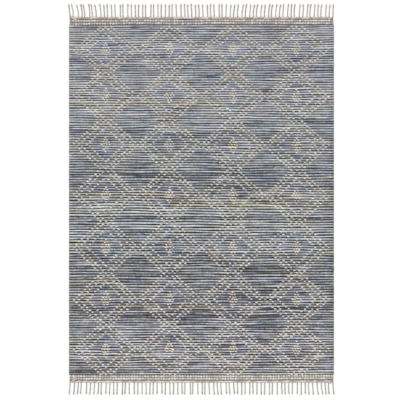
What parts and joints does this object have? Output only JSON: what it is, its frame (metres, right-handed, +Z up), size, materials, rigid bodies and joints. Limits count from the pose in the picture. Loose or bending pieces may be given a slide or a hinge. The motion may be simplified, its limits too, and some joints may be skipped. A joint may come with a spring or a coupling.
{
  "type": "flat-woven cotton rug",
  "caption": "Flat rectangular woven rug with thick cross ribs, a lattice of diamonds in raised loops, a twined band at each end and knotted cord fringes.",
  "frame": {"origin": "on the floor, under the middle of the rug, fringes included", "axes": "+X across the rug along the weft, +Y along the warp towards the head end, +Z up from the floor"},
  "size_m": [1.2077, 1.774, 0.0105],
  "materials": {
    "denim_weft_cloth": "matte heathered ribs with undyed loops",
    "undyed_cotton_twining": "matte undyed cotton yarn",
    "twisted_warp_ends": "matte twisted cotton cord"
  },
  "bodies": {
    "root": {"woven_field": "denim_weft_cloth", "end_band_head": "undyed_cotton_twining", "end_band_foot": "undyed_cotton_twining", "fringe_head": "twisted_warp_ends", "fringe_foot": "twisted_warp_ends"}
  },
  "joints": []
}
